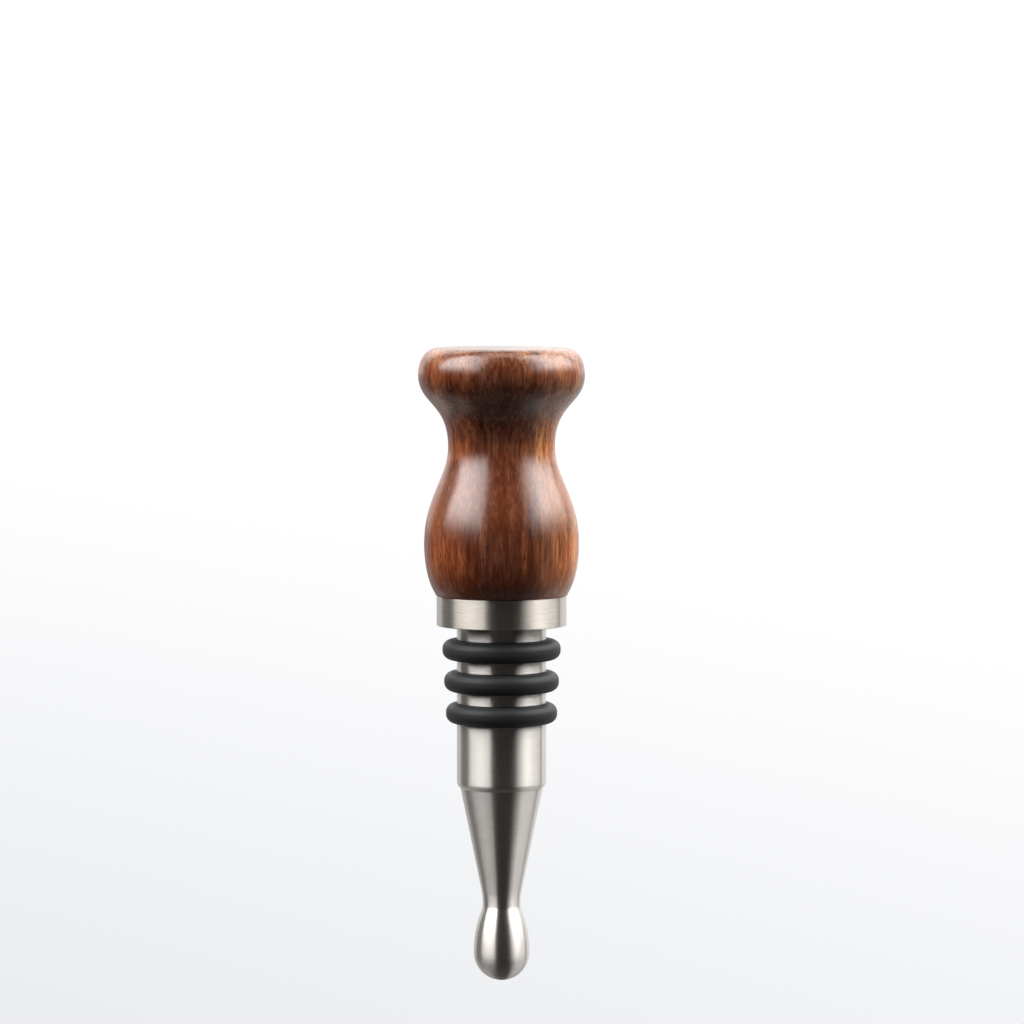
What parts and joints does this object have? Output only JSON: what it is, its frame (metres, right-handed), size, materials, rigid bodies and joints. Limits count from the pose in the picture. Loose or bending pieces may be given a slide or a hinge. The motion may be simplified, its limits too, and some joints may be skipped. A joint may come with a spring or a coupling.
{
  "type": "wooden bottle stopper",
  "caption": "Bottle stopper with a turned wooden handle on a brushed steel collar, and a tapered steel plug with graded silicone sealing rings and an olive-shaped tip.",
  "frame": {"origin": "centre of the collar's flat underside, the face that rests on the rim of the bottle's mouth", "axes": "+Z along the stopper's axis, from the plug up to the handle; X and Y lie in the plane of the bottle's rim and are alike, because the stopper is turned"},
  "size_m": [0.0286, 0.0286, 0.1096],
  "materials": {
    "wood": "satin lacquer",
    "steel": "brushed round the collar, polished on the plug",
    "silicone": "matte",
    "stud": "zinc plated"
  },
  "bodies": {
    "root": {"wooden_handle": "wood", "plug": "steel", "threaded_stud": "stud", "seal_ring_upper": "silicone", "seal_ring_middle": "silicone", "seal_ring_lower": "silicone"}
  },
  "joints": []
}
